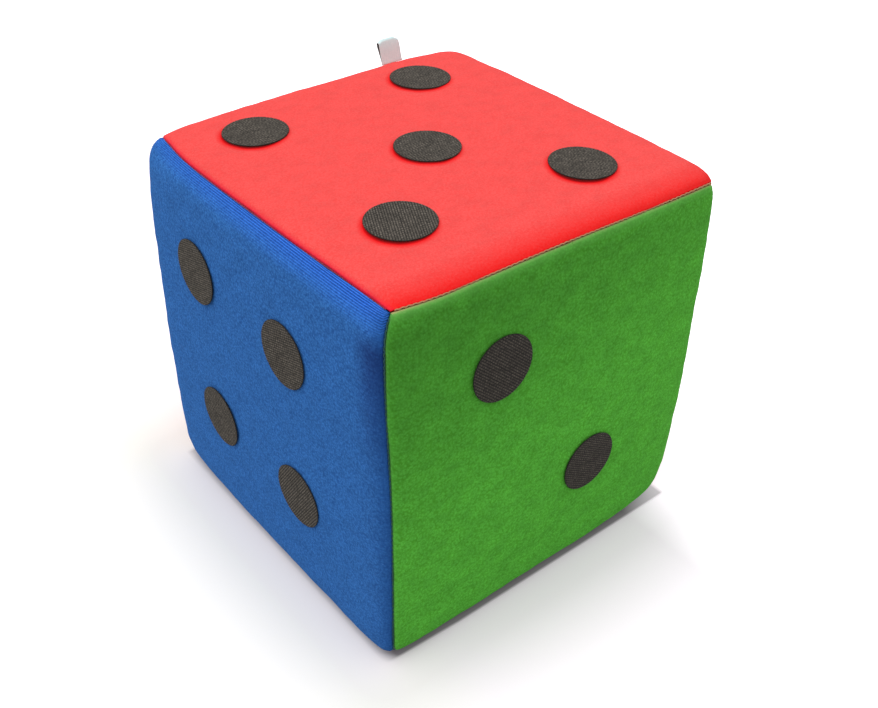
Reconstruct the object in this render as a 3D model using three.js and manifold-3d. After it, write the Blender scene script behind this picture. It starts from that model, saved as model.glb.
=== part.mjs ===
// A soft educational cube: a foam block inside a sewn cover of six loop-fabric panels. Round
// discs of hook tape are pressed onto the loops as its spots, and each can be peeled off again.
// A folded ribbon tab stands in the seam between the top and back panels.
// Millimetres, +Z up, origin on the ground under the middle of the cube.
import * as THREE from "three";
import { mergeVertices } from "three/addons/utils/BufferGeometryUtils.js";
import Module from "manifold-3d";

// Driving dimensions of the stuffed cover, in millimetres.
const coverWidth = 150; // left to right, along X
const coverDepth = 150; // front to back, along Y
const coverHeight = 153; // a little taller than wide, as the photographed cube is
const squareness = 22; // exponent of the outer form: higher gives squarer edges
const rounderEdge = 10; // how far it comes down along the top left edge, whose cloth is the softest
const faceCrown = 1; // how far the foam pushes the middle of a face out
const edgeBow = 0.9; // how far it pushes out the middle of an edge, and the face with it
const nearDraw = 1.5; // how far sewing draws in the near corner of the top, at its left and front
const leftDraw = 2; // the same for the far left corner
const rightDraw = 0.3; // for the one at the front right
const farDraw = 0.8; // for the one at the back right
const footNearDraw = -0.4; // and for the corners of the underside, the first of which bulges out
const footLeftDraw = 2.5;
const footRightDraw = 3.9;
const footFarDraw = 1.5;
const cornerSharpness = 4; // higher keeps each draw closer to its corner
const frontLeftWrap = 2.5; // how far the left panel is rolled over its neighbours' edges
const underReach = 3; // how far the side panels are rolled in under the cube

// How far the sewing pulls the cloth along the form.
const seamLean = 3; // the front left seam, which leans over to the left
const blueLift = 3.8; // the near corner's blue cloth, drawn up over the top edge
const greenLift = 2.5; // the near corner's green cloth, drawn up over the top edge
const redDrop = 2; // the red cloth, drawn down over the right half of the front edge
const backTurn = 7; // the blue and red cloth, drawn back round the far left corner
const overTurn = 3; // the blue cloth, drawn over the top edge at the same corner
const sideTurn = 3.5; // the green cloth, drawn round the front right edge

// The laminated fabric and its seams.
const fabricThickness = 3;
const allowanceThickness = 2; // a seam allowance, squeezed thinner by the foam
const allowanceDepth = 8; // how far it reaches in from the seam
const rollRadius = 2; // the turn from a panel's face into its seam
const seamGap = 0.4; // between the two allowances of a seam
const rollSteps = 3;

// The sewing thread that lies in each seam's groove.
const threadRadius = 0.35;
const threadDepth = 0.5; // from the outer form down to the thread's middle
const threadEnd = 0.93; // share of the seam that carries thread, clear of the corners
const threadSides = 6;
const threadSteps = 16;

// Hook-tape discs.
const discRadius = 12.5;
const weaveThickness = 0.5; // the woven backing that shows
const hookHeight = 0.4; // the part of the hooks that stands above the loops they grip
const hookInset = 0.5; // how far the hooks stop short of the weave's cut edge
const weaveBevel = 0.2;
const discSides = 24;

// Ribbon tab, a strip folded to a loop and sewn in by both its ends.
const ribbonWidth = 10;
const ribbonThickness = 0.35;
const tabReach = 12.5; // from the seam to the fold
const tabOpen = 1.3; // clear width inside the loop below its fold
const tabPlace = 41; // along the back seam, from its middle
const tabLean = 31; // degrees that the tab stands up from the seam's own direction
const tabSlant = 0.1; // how far its width shifts to the left for each millimetre up
const tabSewn = 6; // length of the ends between the allowances
const tabSteps = 6;

// Clearances between pieces that touch in the real cube.
const seatGap = 0.3; // soft pieces lying on each other
const discGap = 0.3; // disc above the fabric

const weldDistance = 1e-4; // points nearer than this are one

// Shares of the half size at which the top left edge starts to get rounder, and its ends less so.
const edgeZone = 0.8;
const edgeEnd = 0.85;

// The grid that every panel and the foam share: odd, so that a face has a level middle cell.
const cells = 11;
const gridEase = 1.7; // above 1 crowds the lines towards the edges

const half = new THREE.Vector3(coverWidth, coverDepth, coverHeight).divideScalar(2);
const discThickness = hookHeight + weaveThickness;
const footHeight = discGap + discThickness;
const centreHeight = footHeight + half.z;

const axis = (x, y, z) => new THREE.Vector3(x, y, z);

// How far each corner is drawn in, found by the signs of its place.
const cornerDraws = [
  { corner: axis(-1, -1, 1), draw: nearDraw },
  { corner: axis(-1, 1, 1), draw: leftDraw },
  { corner: axis(1, -1, 1), draw: rightDraw },
  { corner: axis(1, 1, 1), draw: farDraw },
  { corner: axis(-1, -1, -1), draw: footNearDraw },
  { corner: axis(-1, 1, -1), draw: footLeftDraw },
  { corner: axis(1, -1, -1), draw: footRightDraw },
  { corner: axis(1, 1, -1), draw: footFarDraw },
];

// Where the sewing pulls the cloth along the form: each pull's place and how far it reaches, both as
// shares of the half size, and its shift.
const pulls = [
  { place: axis(-1, -1, 0.82), reach: axis(0.4, 0.4, 0.59), shift: axis(-seamLean, 0, 0) },
  { place: axis(-1, -1, 1), reach: axis(0.29, 0.45, 0.09), shift: axis(blueLift, 0, 0) },
  { place: axis(-1, -1, 1), reach: axis(0.19, 0.29, 0.105), shift: axis(0, greenLift, 0) },
  { place: axis(0.8, -1, 1), reach: axis(0.67, 0.33, 0.33), shift: axis(0, -redDrop, 0) },
  { place: axis(-1, 1, 1), reach: axis(0.24, 0.24, 0.24), shift: axis(overTurn, backTurn, 0) },
  { place: axis(1, -1, 0.3), reach: axis(0.19, 0.19, 1.2), shift: axis(sideTurn, 0, 0) },
];

// Each face has its outward direction, its own across and up, and its fabric. Its outer spots
// stand spotInset in from its edges, and spots gives each one's column, row and hand-placed slip.
const faces = {
  top: {
    out: axis(0, 0, 1), across: axis(1, 0, 0), up: axis(0, 1, 0),
    colour: 0xf0504a, wrap: 0, spotInset: 35,
    spots: [
      [-1, -1, 0.6, 2.8], [1, -1, -5.1, -3], [0, 0, -0.7, -2.1], [-1, 1, -1.7, 5.3], [1, 1, -3.8, 8.4],
    ],
  },
  front: {
    out: axis(0, -1, 0), across: axis(1, 0, 0), up: axis(0, 0, 1),
    colour: 0x3f9130, wrap: 0, spotInset: 47,
    spots: [[-1, 1, -1.4, 10.3], [1, -1, -10.7, 4.3]],
  },
  left: {
    out: axis(-1, 0, 0), across: axis(0, -1, 0), up: axis(0, 0, 1),
    colour: 0x2d62b0, wrap: frontLeftWrap, spotInset: 45,
    spots: [[-1, 1, -4.5, 6.2], [1, 1, -7.2, 3.1], [-1, -1, 2.3, 6.6], [1, -1, -4, 5.1]],
  },
  right: {
    out: axis(1, 0, 0), across: axis(0, 1, 0), up: axis(0, 0, 1),
    colour: 0xef8a22, wrap: 0, spotInset: 39,
    spots: [[-1, -1, 2, 1], [0, 0, -1, 1.5], [1, 1, -1.5, -2]],
  },
  back: {
    out: axis(0, 1, 0), across: axis(-1, 0, 0), up: axis(0, 0, 1),
    colour: 0xf2c21e, wrap: 0, spotInset: 0,
    spots: [[0, 0, 1.5, -1]],
  },
  bottom: {
    out: axis(0, 0, -1), across: axis(1, 0, 0), up: axis(0, -1, 0),
    colour: 0x7a4b9c, wrap: -underReach, spotInset: 37,
    spots: [[-1, 1, 1, 0], [1, 1, -1, 1], [-1, 0, -0.5, 1], [1, 0, 1, -1], [-1, -1, 0, 1], [1, -1, 0.5, 0]],
  },
};

const wasm = await Module();
wasm.setup();

// Distance of the seams' plane box from the middle of the cube, along a face's outward direction.
function seamReach(out) {
  const face = Object.values(faces).find((one) => one.out.dot(out) > 0.5);
  return Math.abs(half.dot(out)) - face.wrap;
}

// A ray from the middle of the cube after the pulls near it have shifted the cloth that it meets.
function pulled(ray) {
  const share = ray.clone().divide(half);
  share.divideScalar(Math.max(...share.toArray().map(Math.abs)));
  const moved = ray.clone();
  for (const { place, reach, shift } of pulls) {
    const away = share.clone().sub(place).divide(reach);
    moved.addScaledVector(shift, Math.exp(-away.lengthSq()));
  }
  return moved;
}

// The exponent of the form at a place given as shares of the half size: the same all over, but
// lower along the top left edge, except at its two ends.
function squarenessAt(share) {
  const atLeft = THREE.MathUtils.smoothstep(-share.x, edgeZone, 1);
  const atTop = THREE.MathUtils.smoothstep(share.z, edgeZone, 1);
  const atAnEnd = THREE.MathUtils.smoothstep(Math.abs(share.y), edgeEnd, 1);
  return squareness - rounderEdge * atLeft * atTop * (1 - atAnEnd);
}

// A point of the stuffed form: where a ray from the middle of the cube meets its surface, or the
// like surface that lies level millimetres inside it.
function formPoint(ray, level) {
  const unit = pulled(ray).divide(half);
  unit.divideScalar(Math.max(...unit.toArray().map(Math.abs)));
  const square = squarenessAt(unit);
  const size = [unit.x, unit.y, unit.z].reduce((sum, c) => sum + Math.abs(c) ** square, 0);
  unit.divideScalar(size ** (1 / square));
  const free = axis(1 - unit.x ** 2, 1 - unit.y ** 2, 1 - unit.z ** 2);
  const bulge = axis(
    faceCrown * free.y * free.z + (edgeBow * (free.y + free.z)) / 2,
    faceCrown * free.x * free.z + (edgeBow * (free.x + free.z)) / 2,
    faceCrown * free.x * free.y + (edgeBow * (free.x + free.y)) / 2,
  ).multiply(unit);
  const near = cornerDraws.find(({ corner }) => corner.clone().multiply(unit).toArray().every((c) => c >= 0));
  const draw = near.draw * Math.abs(unit.x * unit.y * unit.z) ** cornerSharpness;
  const drawn = axis(draw, draw, draw);
  if (unit.z < 0) {
    bulge.z = 0; // the cube's own weight keeps its underside flat
    drawn.z = 0;
  }
  const inner = half.clone().subScalar(level).sub(drawn);
  return unit.multiply(inner).add(bulge).add(axis(0, 0, centreHeight));
}

// The level that lies a given way down a seam's own slope.
const levelDown = (distance) => distance / Math.SQRT2;

// A point of one face, s and t running from -1 to 1 between its seams, inset that far from them.
function facePoint(face, s, t, inset, level) {
  const between = (line, share) => {
    const low = Math.SQRT2 * inset - seamReach(line.clone().negate());
    const high = seamReach(line) - Math.SQRT2 * inset;
    return line.clone().multiplyScalar(THREE.MathUtils.lerp(low, high, (share + 1) / 2));
  };
  const ray = face.out.clone().multiplyScalar(seamReach(face.out));
  ray.add(between(face.across, s)).add(between(face.up, t));
  return formPoint(ray, level);
}

// Places of the grid's lines from -1 to 1, crowded towards the edges.
function gridLine(i) {
  const w = (2 * i) / cells - 1;
  return Math.sign(w) * (1 - (1 - Math.abs(w)) ** gridEase);
}

// The grid's rim as a loop of index pairs, anticlockwise seen from outside.
function rimPairs() {
  const side = Array.from({ length: cells }, (_, i) => i);
  return [
    ...side.map((i) => [i, 0]),
    ...side.map((i) => [cells, i]),
    ...side.map((i) => [cells - i, cells]),
    ...side.map((i) => [0, cells - i]),
  ];
}

// Collects points and triangles of one closed surface.
class Surface {
  points = [];
  triangles = [];

  grid(face, inset, level, inward) {
    const first = this.points.length;
    const at = (i, j) => first + i + j * (cells + 1);
    for (let j = 0; j <= cells; j++)
      for (let i = 0; i <= cells; i++)
        this.points.push(facePoint(face, gridLine(i), gridLine(j), inset, level));
    for (let j = 0; j < cells; j++)
      for (let i = 0; i < cells; i++)
        this.quad([at(i, j), at(i + 1, j), at(i + 1, j + 1), at(i, j + 1)], inward);
    return rimPairs().map(([i, j]) => at(i, j));
  }

  ring(face, inset, level) {
    const first = this.points.length;
    const rim = rimPairs();
    rim.forEach(([i, j]) => this.points.push(facePoint(face, gridLine(i), gridLine(j), inset, level)));
    return rim.map((_, k) => first + k);
  }

  strip(upper, lower) {
    upper.forEach((a, k) => {
      const next = (k + 1) % upper.length;
      this.quad([a, lower[k], lower[next], upper[next]], false);
    });
  }

  quad([a, b, c, d], reversed) {
    this.triangles.push(...(reversed ? [a, c, b, a, d, c] : [a, b, c, a, c, d]));
  }

  geometry() {
    const made = new THREE.BufferGeometry().setFromPoints(this.points);
    made.setIndex(this.triangles);
    return mergeVertices(made, weldDistance);
  }
}

// One panel: its face, the roll into its seams, the allowances turned in, and its inner side.
function panelGeometry(face) {
  const surface = new Surface();
  const gap = seamGap / 2;
  let rim = surface.grid(face, gap + rollRadius, 0, false);
  const follow = (inset, level) => {
    const next = surface.ring(face, inset, level);
    surface.strip(rim, next);
    rim = next;
  };
  for (let k = 1; k <= rollSteps; k++) {
    const turn = (k / rollSteps) * (Math.PI / 2);
    const inset = gap + rollRadius * (1 - Math.sin(turn));
    follow(inset, levelDown(rollRadius * (1 - Math.cos(turn))));
  }
  follow(gap, levelDown(allowanceDepth));
  follow(gap + allowanceThickness, levelDown(allowanceDepth));
  surface.strip(rim, surface.grid(face, gap + allowanceThickness, fabricThickness, true));
  return surface.geometry();
}

// The foam block: six faces under the panels, with a channel along each edge for the allowances.
function foamGeometry() {
  const surface = new Surface();
  const inset = seamGap / 2 + allowanceThickness + seatGap;
  const channel = levelDown(allowanceDepth) + seatGap;
  for (const face of Object.values(faces)) {
    const rim = surface.grid(face, inset, fabricThickness + seatGap, false);
    const foot = surface.ring(face, inset, channel);
    surface.strip(rim, foot);
    surface.strip(foot, surface.ring(face, 0, channel));
  }
  return surface.geometry();
}

// The thread of the seam between two faces, along the direction that both share.
function threadGeometry(one, other) {
  const along = one.out.clone().cross(other.out);
  const corner = one.out.clone().multiplyScalar(seamReach(one.out));
  corner.addScaledVector(other.out, seamReach(other.out));
  const low = -threadEnd * seamReach(along.clone().negate());
  const high = threadEnd * seamReach(along);
  const route = Array.from({ length: cells + 1 }, (_, i) => {
    const place = THREE.MathUtils.lerp(low, high, (gridLine(i) + 1) / 2);
    return formPoint(corner.clone().addScaledVector(along, place), levelDown(threadDepth));
  });
  const section = Array.from({ length: threadSides }, (_, k) => {
    const turn = (2 * Math.PI * k) / threadSides;
    return new THREE.Vector2(Math.cos(turn), Math.sin(turn)).multiplyScalar(threadRadius);
  });
  return new THREE.ExtrudeGeometry(new THREE.Shape(section), {
    extrudePath: new THREE.CatmullRomCurve3(route),
    steps: threadSteps,
    bevelEnabled: false,
  });
}

// A hook-tape disc standing on its hooks, turned about its own axis.
function discGeometry() {
  const profile = [
    [0, 0],
    [discRadius - hookInset, 0],
    [discRadius - hookInset, hookHeight],
    [discRadius, hookHeight],
    [discRadius, discThickness - weaveBevel],
    [discRadius - weaveBevel, discThickness],
    [0, discThickness],
  ].map(([r, z]) => new THREE.Vector2(r, z));
  return new THREE.LatheGeometry(profile, discSides).rotateX(Math.PI / 2);
}

// The ribbon loop's side view, from its pinched foot up to its round fold, drawn with half its
// thickness at each height, so that the opening inside keeps one ribbon's thickness of wall.
function tabGeometry() {
  const foot = ribbonThickness;
  const fold = tabOpen / 2 + ribbonThickness;
  const top = tabReach - fold;
  const spread = (share) => THREE.MathUtils.smoothstep(share, 0, 1);
  const outer = new THREE.Shape();
  const opening = new THREE.Path();
  outer.moveTo(-foot, seatGap);
  outer.lineTo(foot, seatGap);
  for (let k = 1; k <= tabSteps; k++) {
    const share = k / tabSteps;
    outer.lineTo(THREE.MathUtils.lerp(foot, fold, spread(share)), top * share);
  }
  outer.absarc(0, top, fold, 0, Math.PI, false);
  for (let k = tabSteps - 1; k >= 1; k--) {
    const share = k / tabSteps;
    outer.lineTo(-THREE.MathUtils.lerp(foot, fold, spread(share)), top * share);
  }
  opening.moveTo(0, top / tabSteps);
  for (let k = 2; k <= tabSteps; k++) {
    const share = k / tabSteps;
    opening.lineTo((tabOpen / 2) * spread(share), top * share);
  }
  opening.absarc(0, top, tabOpen / 2, 0, Math.PI, false);
  for (let k = tabSteps - 1; k >= 2; k--) {
    const share = k / tabSteps;
    opening.lineTo((-tabOpen / 2) * spread(share), top * share);
  }
  outer.holes.push(opening);
  const made = new THREE.ExtrudeGeometry(outer, {
    depth: ribbonWidth,
    bevelEnabled: false,
    curveSegments: tabSteps,
  });
  made.translate(0, 0, -ribbonWidth / 2);
  return made.applyMatrix4(new THREE.Matrix4().makeShear(0, 0, 0, -tabSlant, 0, 0));
}

// Turns a mesh in the back seam so that its own Y stands lean degrees up from the seam's slope.
function setInBackSeam(mesh, lean) {
  const slope = axis(0, seamReach(faces.back.out), seamReach(faces.top.out));
  const angle = Math.atan2(slope.z, slope.y) + THREE.MathUtils.degToRad(lean);
  const up = axis(0, Math.cos(angle), Math.sin(angle));
  const along = axis(1, 0, 0);
  mesh.quaternion.setFromRotationMatrix(new THREE.Matrix4().makeBasis(up.clone().cross(along), up, along));
  mesh.position.copy(formPoint(slope.clone().setX(tabPlace), 0));
  return mesh;
}

function solidOf(geometry) {
  const bare = geometry.index ? geometry.toNonIndexed() : geometry.clone();
  const onlyPlaces = new THREE.BufferGeometry().setAttribute("position", bare.getAttribute("position"));
  const merged = mergeVertices(onlyPlaces, weldDistance);
  const mesh = new wasm.Mesh({
    numProp: 3,
    vertProperties: new Float32Array(merged.getAttribute("position").array),
    triVerts: new Uint32Array(merged.index.array),
  });
  return new wasm.Manifold(mesh);
}

// Cuts the slot for the ribbon's sewn ends out of a panel.
function cutSlot(geometry, slot) {
  slot.updateMatrixWorld(true);
  const tool = solidOf(slot.geometry.clone().applyMatrix4(slot.matrixWorld));
  const left = solidOf(geometry).subtract(tool).getMesh();
  const made = new THREE.BufferGeometry();
  made.setAttribute("position", new THREE.BufferAttribute(left.vertProperties, 3));
  return made.setIndex(new THREE.BufferAttribute(left.triVerts, 1));
}

function material(colour, roughness) {
  return new THREE.MeshStandardMaterial({ color: colour, roughness, metalness: 0 });
}

function named(name, geometry, finish) {
  const mesh = new THREE.Mesh(geometry, finish);
  mesh.name = name;
  return mesh;
}

const foamFinish = material(0xe8e2cf, 0.95);
const threadFinish = material(0x8d7f73, 0.8);
const discFinish = material(0x3a3835, 0.85);
const ribbonFinish = material(0xe9e4dc, 0.5);

const cube = new THREE.Group();
cube.add(named("foam_block", foamGeometry(), foamFinish));

// The ribbon's ends lie below the thread, between the top and back allowances.
const sewnTop = threadDepth + threadRadius + seatGap;
const sewnMiddle = -sewnTop - tabSewn / 2;
const sewnEnds = new THREE.BoxGeometry(2 * ribbonThickness, tabSewn, ribbonWidth);
cube.add(setInBackSeam(named("ribbon_sewn_ends", sewnEnds.translate(0, sewnMiddle, 0), ribbonFinish), 0));
cube.add(setInBackSeam(named("ribbon_tab", tabGeometry(), ribbonFinish), tabLean));

const slotWide = 2 * (ribbonThickness + seatGap);
const slotDeep = 2 * (tabSewn + allowanceDepth);
const slotBox = new THREE.BoxGeometry(slotWide, slotDeep, ribbonWidth + 2 * seatGap);
slotBox.translate(0, -sewnTop + seatGap - slotDeep / 2, 0);
const slot = setInBackSeam(new THREE.Mesh(slotBox), 0);

for (const [name, face] of Object.entries(faces)) {
  const plain = panelGeometry(face);
  const holdsRibbon = face === faces.top || face === faces.back;
  const geometry = holdsRibbon ? cutSlot(plain, slot) : plain;
  cube.add(named(name + "_panel", geometry, material(face.colour, 0.95)));
}

const seams = [
  ["top", "front"], ["top", "right"], ["top", "back"], ["top", "left"],
  ["bottom", "front"], ["bottom", "right"], ["bottom", "back"], ["bottom", "left"],
  ["front", "left"], ["front", "right"], ["back", "left"], ["back", "right"],
];
for (const [one, other] of seams) {
  const geometry = threadGeometry(faces[one], faces[other]);
  cube.add(named("seam_thread_" + one + "_" + other, geometry, threadFinish));
}

// Where a face's surface lies at a spot, and the direction that it faces there.
function spotSeat(face, x, y) {
  const at = (dx, dy) => {
    const ray = face.out.clone().multiplyScalar(Math.abs(half.dot(face.out)));
    ray.addScaledVector(face.across, x + dx).addScaledVector(face.up, y + dy);
    return formPoint(ray, 0);
  };
  const step = discRadius / 2;
  const slopeAcross = at(step, 0).sub(at(-step, 0));
  const slopeUp = at(0, step).sub(at(0, -step));
  return { place: at(0, 0), facing: slopeAcross.cross(slopeUp).normalize() };
}

for (const [name, face] of Object.entries(faces)) {
  face.spots.forEach(([column, row, slipAcross, slipUp], k) => {
    const x = column * (Math.abs(half.dot(face.across)) - face.spotInset) + slipAcross;
    const y = row * (Math.abs(half.dot(face.up)) - face.spotInset) + slipUp;
    const { place, facing } = spotSeat(face, x, y);
    const disc = named(name + "_disc_" + (k + 1), discGeometry(), discFinish);
    disc.quaternion.setFromUnitVectors(axis(0, 0, 1), facing);
    disc.position.copy(place).addScaledVector(facing, discGap);
    cube.add(disc);
  });
}

export default cube;
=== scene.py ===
# A soft educational cube: a foam block in a sewn cover of six loop-fabric panels, with round discs
# of hook tape as its spots and a folded ribbon tab in its top back seam. Metres, +Z up.
import math

import bpy
import numpy as np
from mathutils import Matrix, Vector

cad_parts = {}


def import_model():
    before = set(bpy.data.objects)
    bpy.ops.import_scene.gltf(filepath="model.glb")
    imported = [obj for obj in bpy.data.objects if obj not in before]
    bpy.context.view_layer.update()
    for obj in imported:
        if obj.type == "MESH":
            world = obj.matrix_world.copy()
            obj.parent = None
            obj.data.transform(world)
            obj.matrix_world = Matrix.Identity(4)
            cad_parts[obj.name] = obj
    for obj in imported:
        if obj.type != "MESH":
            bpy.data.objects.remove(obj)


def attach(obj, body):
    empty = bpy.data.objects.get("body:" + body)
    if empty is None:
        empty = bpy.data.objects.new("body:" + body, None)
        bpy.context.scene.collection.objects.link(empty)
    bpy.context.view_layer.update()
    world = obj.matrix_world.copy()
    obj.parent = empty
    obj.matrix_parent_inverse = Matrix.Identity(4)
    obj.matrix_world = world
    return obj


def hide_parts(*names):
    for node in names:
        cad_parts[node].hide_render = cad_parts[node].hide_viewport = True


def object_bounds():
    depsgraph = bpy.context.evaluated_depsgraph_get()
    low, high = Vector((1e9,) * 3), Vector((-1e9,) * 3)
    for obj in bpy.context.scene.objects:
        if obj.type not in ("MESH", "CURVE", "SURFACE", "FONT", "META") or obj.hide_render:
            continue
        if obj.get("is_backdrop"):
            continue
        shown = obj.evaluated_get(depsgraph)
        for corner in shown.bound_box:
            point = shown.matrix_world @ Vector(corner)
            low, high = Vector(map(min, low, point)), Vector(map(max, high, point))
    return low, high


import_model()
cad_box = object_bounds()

MM = 0.001

# The stuffed cover: its size, and how the foam rounds it.
HALF = np.array([75, 75, 76.5]) * MM
SQUARENESS = 22
ROUNDER_EDGE = 10  # how far the exponent comes down along the top left edge
EDGE_ZONE = 0.8
EDGE_END = 0.85
FACE_CROWN = 1.0 * MM
EDGE_BOW = 0.9 * MM
CORNER_SHARPNESS = 4
LEFT_WRAP = 2.5 * MM
UNDER_REACH = 3 * MM

# The fabric and its seams.
FABRIC_THICKNESS = 3 * MM
ALLOWANCE_THICKNESS = 2 * MM
ALLOWANCE_DEPTH = 8 * MM
SEAM_GAP = 0.14 * MM
SEAT_GAP = 0.3 * MM

# The hook-tape discs.
DISC_RADIUS = 12.5 * MM
WEAVE_THICKNESS = 0.5 * MM
HOOK_HEIGHT = 0.4 * MM
DISC_GAP = 0.3 * MM
# How far the hooks sink into the loops: most on top, where a hand presses down, and not at all under
# the cube, which stands on them.
HOOKS_SUNK = 0.2 * MM
OTHERS_SUNK = {"top": 0.6 * MM, "bottom": 0}
# The loops lap over the rims of the discs that are pressed in deepest.
RIM_SHOWN = {"top": 0.97}
# Which way, and how far, the shade of a disc falls on the top panel.
SHADE_SHIFT = np.array([-1.5, -1.2, 0]) * MM
FOOT_HEIGHT = DISC_GAP + HOOK_HEIGHT + WEAVE_THICKNESS
CENTRE = np.array([0, 0, FOOT_HEIGHT + HALF[2]])

# The ribbon tab.
RIBBON_WIDTH = 10 * MM
RIBBON_THICKNESS = 0.35 * MM
TAB_REACH = 10.6 * MM
TAB_OPEN = 1.3 * MM
TAB_PLACE = 42 * MM
TAB_LEAN = math.radians(31)
TAB_SLANT = 0.1
TAB_SEWN = 6 * MM
# How far the fold's corners are rounded, and how thin the inner half is, so that the legs stay apart.
TAB_ROUND = 1.1 * MM
INNER_SHARE = 0.94
TAB_STEPS = 24
FOLD_STEPS = 18
RIBBON_STEPS = 20
# The ribbon's ends thicken the seam and lift the cloth round them: how far, and how far round.
TAB_RISE = 0.8 * MM
TAB_RISE_REACH = (0.25, 0.17, 0.3)

# The sewing thread.
THREAD_RADIUS = 0.35 * MM
THREAD_DEPTH = 0.5 * MM
PLY_RADIUS = 0.13 * MM
THREAD_END = 0.975
STITCH = 2.2 * MM

RIB_PITCH = 0.82 * MM

X, Y, Z = np.eye(3)

# How far sewing draws each corner in: right or left, back or front, upper or lower.
CORNER_DRAWS = {
    (-1, -1, 1): 1.5 * MM, (-1, 1, 1): 2 * MM, (1, -1, 1): 0.3 * MM, (1, 1, 1): 0.8 * MM,
    (-1, -1, -1): -0.4 * MM, (-1, 1, -1): 2.5 * MM, (1, -1, -1): 3.9 * MM, (1, 1, -1): 1.5 * MM,
}

# Where the sewing pulls the cloth along the form: the pull's place and reach, as shares of the half
# size, and its shift. They lean the front left seam to the left, draw the near corner's cloth over
# the top edges (two), the red down over the right half of the front edge, the far left corner's cloth
# back and the blue over its top edge, and the green round the right edge.
PULLS = [
    ((-1, -1, 0.82), (0.4, 0.4, 0.59), np.array([-3, 0, 0]) * MM),
    ((-1, -1, 1), (0.29, 0.45, 0.09), np.array([3.8, 0, 0]) * MM),
    ((-1, -1, 1), (0.19, 0.29, 0.105), np.array([0, 2.5, 0]) * MM),
    ((0.8, -1, 1), (0.67, 0.33, 0.33), np.array([0, -2, 0]) * MM),
    ((-1, 1, 1), (0.24, 0.24, 0.24), np.array([4.5, 7, 0]) * MM),
    ((1, -1, 0.3), (0.19, 0.19, 1.2), np.array([3.5, 0, 0]) * MM),
]

# Each face has its outward direction, its own across and up, the record's slot of its fabric, the
# radius of its roll into the seams, how far it wraps over its neighbours, how far in its outer spots
# stand, and each spot's column, row and slip in millimetres.
FACES = {
    "top": {
        "out": Z, "across": X, "up": Y, "slot": "loop_red", "roll": 0.5 * MM,
        "wrap": 0, "inset": 35,
        "spots": [
            (-1, -1, 1.3, 3.9), (1, -1, -4.2, -2.0), (0, 0, 0.0, -1.1),
            (-1, 1, -1.1, 6.5), (1, 1, -3.0, 9.7),
        ],
    },
    "front": {
        "out": -Y, "across": X, "up": Z, "slot": "loop_green", "roll": 1.5 * MM,
        "wrap": 0, "inset": 47,
        "spots": [(-1, 1, -0.7, 9.6), (1, -1, -9.8, 3.4)],
    },
    "left": {
        "out": -X, "across": -Y, "up": Z, "slot": "loop_blue", "roll": 1.4 * MM,
        "wrap": LEFT_WRAP, "inset": 45,
        "spots": [(-1, 1, -5.3, 5.6), (1, 1, -8.1, 2.5), (-1, -1, 1.4, 6.0), (1, -1, -4.7, 4.3)],
    },
    "right": {
        "out": X, "across": Y, "up": Z, "slot": "loop_orange", "roll": 1.5 * MM,
        "wrap": 0, "inset": 39,
        "spots": [(-1, -1, 2, 1), (0, 0, -1, 1.5), (1, 1, -1.5, -2)],
    },
    "back": {
        "out": Y, "across": -X, "up": Z, "slot": "loop_yellow", "roll": 1.2 * MM,
        "wrap": 0, "inset": 0,
        "spots": [(0, 0, 1.5, -1)],
    },
    "bottom": {
        "out": -Z, "across": X, "up": -Y, "slot": "loop_violet", "roll": 2 * MM,
        "wrap": -UNDER_REACH, "inset": 37,
        "spots": [
            (-1, 1, 1, 0), (1, 1, -1, 1), (-1, 0, -0.5, 1),
            (1, 0, 1, -1), (-1, -1, 0, 1), (1, -1, 0.5, 0),
        ],
    },
}
SEAMS = [(end, side) for end in ("top", "bottom") for side in ("front", "right", "back", "left")]
SEAMS += [(face, side) for face in ("front", "back") for side in ("left", "right")]


# The stuffed form

def seam_reach(out):
    """How far the seams' plane lies from the middle of the cube, along a face's outward direction."""
    face = next(one for one in FACES.values() if one["out"] @ out > 0.5)
    return abs(HALF @ out) - face["wrap"]


def pulled(rays):
    """Rays from the middle of the cube after the pulls near them have shifted the cloth they meet."""
    share = rays / HALF
    share = share / np.abs(share).max(axis=-1, keepdims=True)
    moved = rays
    for place, reach, shift in PULLS:
        away = (share - place) / reach
        moved = moved + np.exp(-(away ** 2).sum(axis=-1, keepdims=True)) * shift
    return moved


def squareness_at(share):
    """The form's exponent: lower along the top left edge, except at its two ends."""
    at_left = smooth(-share[..., :1], EDGE_ZONE, 1)
    at_top = smooth(share[..., 2:], EDGE_ZONE, 1)
    at_an_end = smooth(np.abs(share[..., 1:2]), EDGE_END, 1)
    return SQUARENESS - ROUNDER_EDGE * at_left * at_top * (1 - at_an_end)


def form_points(rays, level=0.0):
    """Where rays from the middle of the cube meet its surface, or the like surface level inside it."""
    unit = pulled(rays) / HALF
    unit = unit / np.abs(unit).max(axis=-1, keepdims=True)
    square = squareness_at(unit)
    unit = unit / (np.abs(unit) ** square).sum(axis=-1, keepdims=True) ** (1 / square)
    free = 1 - unit ** 2
    one, other = free[..., [1, 0, 0]], free[..., [2, 2, 1]]
    bulge = (FACE_CROWN * one * other + EDGE_BOW * (one + other) / 2) * unit
    bulge[..., 2] *= unit[..., 2] > 0
    away = (unit - (TAB_PLACE / HALF[0], 1, 1)) / TAB_RISE_REACH
    bulge[..., 2] += TAB_RISE * np.exp(-(away ** 2).sum(axis=-1))
    draw = np.zeros(unit.shape)
    for corner, most in CORNER_DRAWS.items():
        here = (unit * corner > 0).all(axis=-1, keepdims=True)
        draw = draw + here * most * np.abs(unit.prod(axis=-1, keepdims=True)) ** CORNER_SHARPNESS
    draw[..., 2] *= unit[..., 2] > 0
    return unit * (HALF - level - draw) + bulge + CENTRE


def unit_of(vectors):
    return vectors / np.linalg.norm(vectors, axis=-1, keepdims=True)


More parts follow.
